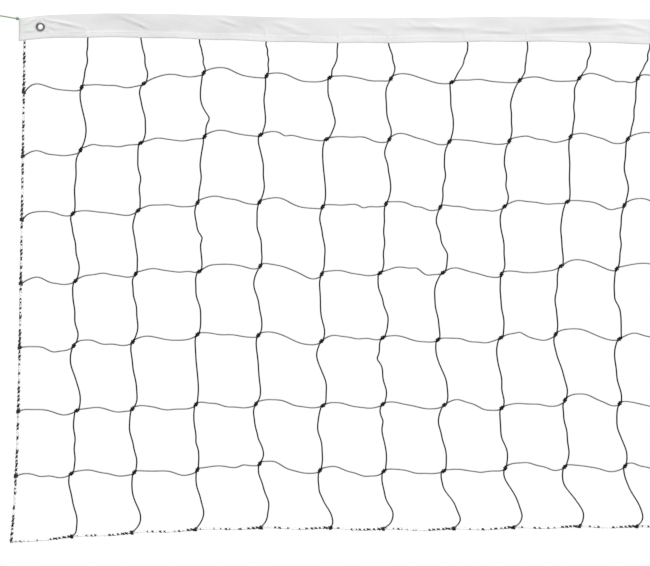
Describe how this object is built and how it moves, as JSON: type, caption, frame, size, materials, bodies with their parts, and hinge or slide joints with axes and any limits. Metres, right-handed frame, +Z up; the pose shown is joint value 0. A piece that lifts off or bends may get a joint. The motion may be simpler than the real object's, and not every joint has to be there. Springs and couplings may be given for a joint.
{
  "type": "sports net",
  "caption": "Long square-mesh court net of black knotted twine under a white folded vinyl headband, with a taut green headline, end loops, eyelets and a laced border cord.",
  "frame": {"origin": "centre of the loop at the left end of the headline, where the net is held up", "axes": "+X along the net to its right end, +Z up, -Y to the front"},
  "size_m": [9.6865, 0.009, 0.9437],
  "materials": {
    "vinyl": "satin creased vinyl",
    "twine": "twisted black twine",
    "border_cord": "white braided cord",
    "headline_cord": "grey-green braided cord",
    "eyelet_metal": "dull dark grey",
    "sewing_thread": "white thread"
  },
  "bodies": {
    "headline": {"headline": "headline_cord", "headline_tail_left": "headline_cord", "headline_tail_right": "headline_cord", "end_loop_left": "headline_cord", "end_loop_right": "headline_cord"},
    "headband": {"headband": "vinyl", "hem_stitching": "sewing_thread", "eyelet_left": "eyelet_metal", "eyelet_right": "eyelet_metal", "eyelet_washer_left": "eyelet_metal", "eyelet_washer_right": "eyelet_metal", "head_twine": "twine", "head_loops": "twine"},
    "mesh_1": {"mesh_legs_1": "twine", "mesh_row_1": "twine", "mesh_knots_1": "twine", "side_cords_1": "border_cord", "side_lacing_1": "twine"},
    "mesh_2": {"mesh_legs_2": "twine", "mesh_row_2": "twine", "mesh_knots_2": "twine", "side_cords_2": "border_cord", "side_lacing_2": "twine"},
    "mesh_3": {"mesh_legs_3": "twine", "mesh_row_3": "twine", "mesh_knots_3": "twine", "side_cords_3": "border_cord", "side_lacing_3": "twine"},
    "mesh_4": {"mesh_legs_4": "twine", "mesh_row_4": "twine", "mesh_knots_4": "twine", "side_cords_4": "border_cord", "side_lacing_4": "twine"},
    "mesh_5": {"mesh_legs_5": "twine", "mesh_row_5": "twine", "mesh_knots_5": "twine", "side_cords_5": "border_cord", "side_lacing_5": "twine"},
    "mesh_6": {"mesh_legs_6": "twine", "mesh_row_6": "twine", "mesh_knots_6": "twine", "side_cords_6": "border_cord", "side_lacing_6": "twine"},
    "mesh_7": {"mesh_legs_7": "twine", "mesh_row_7": "twine", "mesh_knots_7": "twine", "side_cords_7": "border_cord", "side_lacing_7": "twine"},
    "mesh_8": {"mesh_legs_8": "twine", "bottom_cord": "border_cord", "mesh_knots_8": "twine", "side_cords_8": "border_cord", "side_lacing_8": "twine", "bottom_lacing": "twine"}
  },
  "joints": [
    {"name": "headband_swing", "type": "hinge", "parent": "headline", "child": "headband", "pos_m": [4.828, 0, -0.013], "axis": [1, 0, 0], "range_deg": [-75, 75]},
    {"name": "mesh_fold_1", "type": "hinge", "parent": "headband", "child": "mesh_1", "pos_m": [4.828, 0, -0.0575], "axis": [-1, 0, 0], "range_deg": [-90, 90]},
    {"name": "mesh_fold_2", "type": "hinge", "parent": "mesh_1", "child": "mesh_2", "pos_m": [4.828, 0, -0.1285], "axis": [1, 0, 0], "range_deg": [-90, 90]},
    {"name": "mesh_fold_3", "type": "hinge", "parent": "mesh_2", "child": "mesh_3", "pos_m": [4.828, 0, -0.242], "axis": [-1, 0, 0], "range_deg": [-90, 90]},
    {"name": "mesh_fold_4", "type": "hinge", "parent": "mesh_3", "child": "mesh_4", "pos_m": [4.828, 0, -0.3555], "axis": [1, 0, 0], "range_deg": [-90, 90]},
    {"name": "mesh_fold_5", "type": "hinge", "parent": "mesh_4", "child": "mesh_5", "pos_m": [4.828, 0, -0.469], "axis": [-1, 0, 0], "range_deg": [-90, 90]},
    {"name": "mesh_fold_6", "type": "hinge", "parent": "mesh_5", "child": "mesh_6", "pos_m": [4.828, 0, -0.5825], "axis": [1, 0, 0], "range_deg": [-90, 90]},
    {"name": "mesh_fold_7", "type": "hinge", "parent": "mesh_6", "child": "mesh_7", "pos_m": [4.828, 0, -0.696], "axis": [-1, 0, 0], "range_deg": [-90, 90]},
    {"name": "mesh_fold_8", "type": "hinge", "parent": "mesh_7", "child": "mesh_8", "pos_m": [4.828, 0, -0.8095], "axis": [1, 0, 0], "range_deg": [-90, 90]}
  ]
}
